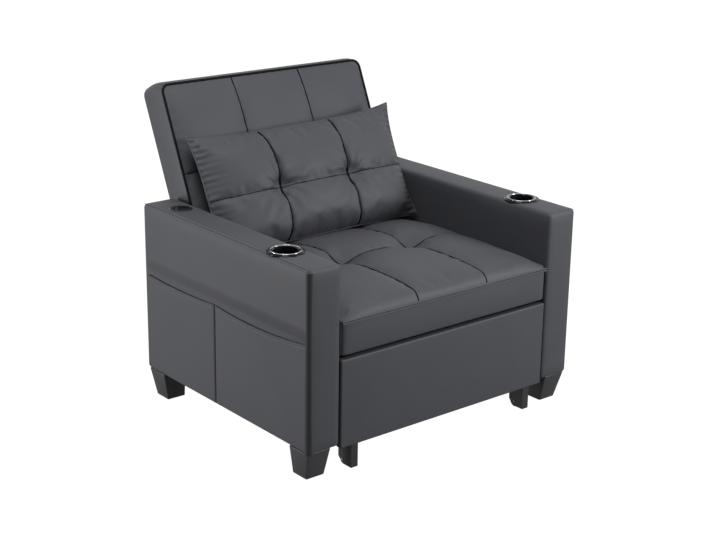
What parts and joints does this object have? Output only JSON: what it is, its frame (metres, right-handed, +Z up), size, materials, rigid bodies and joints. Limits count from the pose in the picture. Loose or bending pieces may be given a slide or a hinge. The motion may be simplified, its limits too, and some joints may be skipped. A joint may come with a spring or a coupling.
{
  "type": "convertible chair bed",
  "caption": "Upholstered armchair that opens into a bed: reclining tufted backrest, pull-out base on wheels, cup holders, side pockets and a loose lumbar pillow.",
  "frame": {"origin": "on the floor, under the middle of the chair's overall width and depth", "axes": "+Z up, +X to the right seen from the front, the front of the chair faces -Y"},
  "size_m": [1.01, 0.9938, 0.9491],
  "materials": {
    "faux_leather": "dark grey grained faux leather, satin",
    "backing_cloth": "black non-woven backing",
    "timber": "bare plywood and pine",
    "leg_finish": "dark grey moulded, satin",
    "webbing": "woven elastic webbing",
    "black_steel": "black powder coat",
    "zinc_steel": "zinc plated",
    "cup_plastic": "black moulded",
    "chrome_ring": "polished",
    "gloss_black": "gloss black moulded",
    "nylon": "black nylon"
  },
  "bodies": {
    "frame": {"arm_cover_left": "faux_leather", "arm_cover_right": "faux_leather", "arm_carcass_left": "timber", "arm_carcass_right": "timber", "pocket_panel_front": "faux_leather", "pocket_panel_rear": "faux_leather", "pocket_binding": "faux_leather", "cup_liner_left": "cup_plastic", "cup_liner_right": "cup_plastic", "cup_rim_left": "chrome_ring", "cup_rim_right": "chrome_ring", "port_socket": "gloss_black", "front_leg_left": "leg_finish", "front_leg_right": "leg_finish", "rear_leg_left": "leg_finish", "rear_leg_right": "leg_finish", "leg_bolts": "zinc_steel", "frame_bolts": "zinc_steel", "seat_frame": "timber", "seat_webbing": "webbing", "seat_deck": "timber", "seat_cushion": "faux_leather", "seat_support_left": "black_steel", "seat_support_right": "black_steel", "rear_rail": "timber", "rear_cover": "faux_leather", "guide_rail_left": "black_steel", "guide_rail_right": "black_steel", "hinge_plate_left": "black_steel", "hinge_plate_right": "black_steel", "hinge_pins": "zinc_steel"},
    "backrest": {"back_frame": "black_steel", "back_webbing": "webbing", "back_cushion": "faux_leather", "back_rear_panel": "backing_cloth", "hinge_arm_left": "black_steel", "hinge_arm_right": "black_steel"},
    "pillow": {"lumbar_pillow": "faux_leather"},
    "pull_out_base": {"front_panel_board": "timber", "front_panel_cover": "faux_leather", "chassis_rail_left": "black_steel", "chassis_rail_right": "black_steel", "chassis_cross_tubes": "black_steel", "base_leg_left": "black_steel", "base_leg_right": "black_steel", "wheel_axles": "zinc_steel", "lift_links": "black_steel", "lift_pins": "zinc_steel", "deck_side_tubes": "black_steel", "deck_cross_tubes": "black_steel", "base_deck": "timber", "base_cushion": "faux_leather"},
    "wheel_left": {"wheel_left": "nylon"},
    "wheel_right": {"wheel_right": "nylon"},
    "roller_left": {"roller_left": "nylon"},
    "roller_right": {"roller_right": "nylon"}
  },
  "joints": [
    {"name": "back_recline", "type": "hinge", "parent": "frame", "child": "backrest", "pos_m": [0, 0.19207, 0.425], "axis": [-1, 0, 0], "range_deg": [0, 65.9]},
    {"name": "pillow_lift_off", "type": "slide", "parent": "backrest", "child": "pillow", "axis": [0, 0, 1], "range_m": [0, 0.3]},
    {"name": "base_pull_out", "type": "slide", "parent": "frame", "child": "pull_out_base", "axis": [0, -1, 0], "range_m": [0, 0.745]},
    {"name": "wheel_left_roll", "type": "hinge", "parent": "pull_out_base", "child": "wheel_left", "pos_m": [-0.337, -0.45093, 0.018], "axis": [1, 0, 0], "continuous": true},
    {"name": "roller_left_roll", "type": "hinge", "parent": "pull_out_base", "child": "roller_left", "pos_m": [-0.379, 0.28607, 0.11], "axis": [1, 0, 0], "continuous": true},
    {"name": "wheel_right_roll", "type": "hinge", "parent": "pull_out_base", "child": "wheel_right", "pos_m": [0.337, -0.45093, 0.018], "axis": [1, 0, 0], "continuous": true},
    {"name": "roller_right_roll", "type": "hinge", "parent": "pull_out_base", "child": "roller_right", "pos_m": [0.379, 0.28607, 0.11], "axis": [1, 0, 0], "continuous": true}
  ]
}
